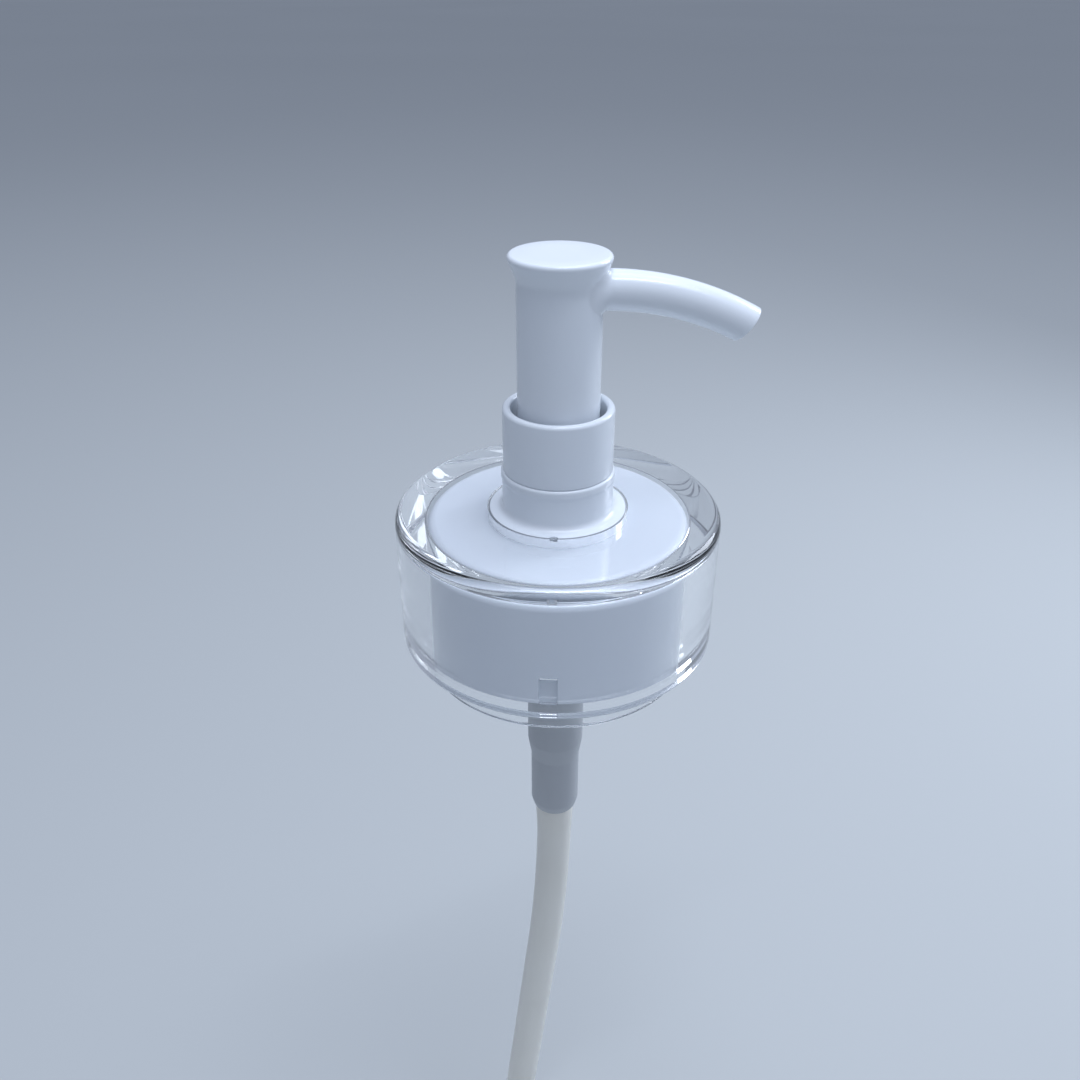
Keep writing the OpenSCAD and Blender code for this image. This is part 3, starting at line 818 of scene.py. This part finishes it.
def tube_length():
    """Length of the centre line below the start of the bend, up to the middle of the slanted end cut."""
    a = TUBE_BEND_LEN / TUBE_BEND
    bend_drop = TUBE_BEND * sin(a)
    low_corner = TUBE_R * (tan(TUBE_CUT) * cos(a) + sin(a))
    return TUBE_BEND_LEN + (BEND_Z - TUBE_END - bend_drop - low_corner) / cos(a)


def dress_cad_nodes(materials):
    """Gives the hidden CAD pieces, which keep their own shapes, their materials."""
    # The stem, rod and cage take the housing's white, darkened by painted shade
    slots = {"stem": "white_housing", "piston_rod": "white_housing", "valve_cage": "white_housing",
             "piston_seal": "natural_seal", "stem_wiper": "natural_seal", "neck_gasket": "foam_gasket",
             "outlet_ball": "ball_steel", "inlet_ball": "ball_glass"}
    for node, slot in slots.items():
        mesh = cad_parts[node].data
        mesh.materials.clear()
        mesh.materials.append(materials[slot])


# ---------------------------------------------------------------- studio

def studio_floor(material):
    """Wide round floor just under the end of the dip tube."""
    radius, sides, drop, thickness = 12000, 64, 1, 19
    floor = build("studio_floor", lambda bm: add_swept(bm, [
        [Vector((radius * cos(TURN * j / sides), radius * sin(TURN * j / sides), TUBE_END - drop - depth))
         for j in range(sides)] for depth in (thickness, 0)]))
    floor.data.materials.append(material)


def studio_sky():
    """Soft cool surround, brightest overhead and towards the right, dimmer at the horizon."""
    world = bpy.data.worlds.new("studio surround")
    world.use_nodes = True
    tree = world.node_tree
    where = tree.nodes.new("ShaderNodeTexCoord")
    along = tree.nodes.new("ShaderNodeVectorMath")
    along.operation = "DOT_PRODUCT"
    along.inputs[1].default_value = (0.28, 0.0, 0.96)
    ramp = tree.nodes.new("ShaderNodeMapRange")
    ramp.interpolation_type = "SMOOTHSTEP"
    ramp.inputs["From Min"].default_value = -0.35
    ramp.inputs["From Max"].default_value = 1.0
    ramp.inputs["To Min"].default_value = 0.16
    ramp.inputs["To Max"].default_value = 0.60
    background = tree.nodes["Background"]
    background.inputs["Color"].default_value = (0.70, 0.79, 1.0, 1)
    tree.links.new(where.outputs["Generated"], along.inputs[0])
    tree.links.new(along.outputs["Value"], ramp.inputs["Value"])
    tree.links.new(ramp.outputs["Result"], background.inputs["Strength"])
    bpy.context.scene.world = world


def softbox(name, place_mm, aim_mm, size_mm, watts, colour):
    """Rectangular area light that faces a point."""
    data = bpy.data.lights.new(name, "AREA")
    data.shape = "RECTANGLE"
    data.size, data.size_y = (s * MM for s in size_mm)
    data.energy = watts
    data.color = colour
    lamp = bpy.data.objects.new(name, data)
    lamp.location = Vector(place_mm) * MM
    lamp.rotation_euler = (Vector(aim_mm) - Vector(place_mm)).to_track_quat("-Z", "Y").to_euler()
    bpy.context.scene.collection.objects.link(lamp)


def studio_lights():
    """Large soft overhead light, a thin strip for the spout's highlight and a light from the right."""
    cool = (0.80, 0.865, 0.98)
    middle, spout = (0, 0, 20), (10, 0, 45)
    softbox("overhead", (140, 40, 1040), middle, size_mm=(840, 840), watts=7.2, colour=cool)
    softbox("strip", (60, -90, 420), spout, size_mm=(240, 16), watts=0.35, colour=cool)
    softbox("right_edge", (420, 260, 240), middle, size_mm=(160, 300), watts=1.2, colour=cool)


def camera():
    """Camera in front of the spout's plane, looking down; its place is given in shell radii."""
    back, up, aside = 5.3826, 2.893, -0.10854
    look_down = radians(30.335)
    data = bpy.data.cameras.new("camera")
    data.sensor_width = 36
    data.lens = 33.025
    data.clip_start = 0.01
    eye = bpy.data.objects.new("camera", data)
    eye.location = Vector((aside * SHELL_R, -back * SHELL_R, PLATE_TOP + up * SHELL_R)) * MM
    eye.rotation_euler = (pi / 2 - look_down, 0, 0)
    bpy.context.scene.collection.objects.link(eye)
    bpy.context.scene.camera = eye


def deep_glass():
    """Lets light bounce often enough inside the thick clear shell to leave it again."""
    cycles = bpy.context.scene.cycles
    cycles.max_bounces = 24
    cycles.glossy_bounces = 16
    cycles.transmission_bounces = 24


white_light = (0.86, 0.90, 0.94)
# Dark grey of the painted shade in the gap round the boss
gap_painted_shade = (0.36, 0.38, 0.41)
materials = {
    "white_shell": moulded_plastic("white_shell", white_light, (0.845, 0.885, 0.93), 0.17),
    "white_cap": moulded_plastic("white_cap", (0.86, 0.89, 0.94), (0.845, 0.875, 0.93), 0.34),
    # Housing and hidden stem, rod and cage: white plastic darkened to grey, a painted shade for the shadow
    # of the cap that the housing hangs in
    "white_housing": moulded_plastic("white_housing", (0.52, 0.54, 0.56), (0.50, 0.52, 0.54), 0.42),
    "natural_seal": moulded_plastic("natural_seal", (0.84, 0.85, 0.82), (0.78, 0.80, 0.77), 0.45),
    "clear_acrylic": clear_plastic("clear_acrylic", (0.985, 0.995, 1.0), 1.49, 0.02),
    "ball_glass": clear_plastic("ball_glass", (0.86, 0.95, 0.90), 1.52, 0.03),
    "milky_tube": milky_plastic("milky_tube"),
    "foam_gasket": foam("foam_gasket"),
    "spring_steel": metal("spring_steel", (0.62, 0.63, 0.65), (0.50, 0.51, 0.53), 0.28, (6, 6, 1)),
    "ball_steel": metal("ball_steel", (0.74, 0.75, 0.77), (0.66, 0.67, 0.69), 0.16, (1, 1, 1)),
}

actuator_head(materials["white_shell"])
lock_collar(materials["white_shell"])
# The boss's flank gets painted shade in the gap under the rim of the clear plate's hole
threaded_closure(materials["white_shell"], painted_gap_shade("white_gap_painted_shade", white_light, gap_painted_shade, 0.4))
inner_cap(materials["white_cap"])
acrylic_shell(materials["clear_acrylic"])
housing(materials["white_housing"])
dip_tube(materials["milky_tube"])
return_spring(materials["spring_steel"])
dress_cad_nodes(materials)

studio_floor(floor_paint("pale_floor"))
studio_sky()
studio_lights()
camera()
bpy.context.scene.view_settings.view_transform = "Standard"
deep_glass()
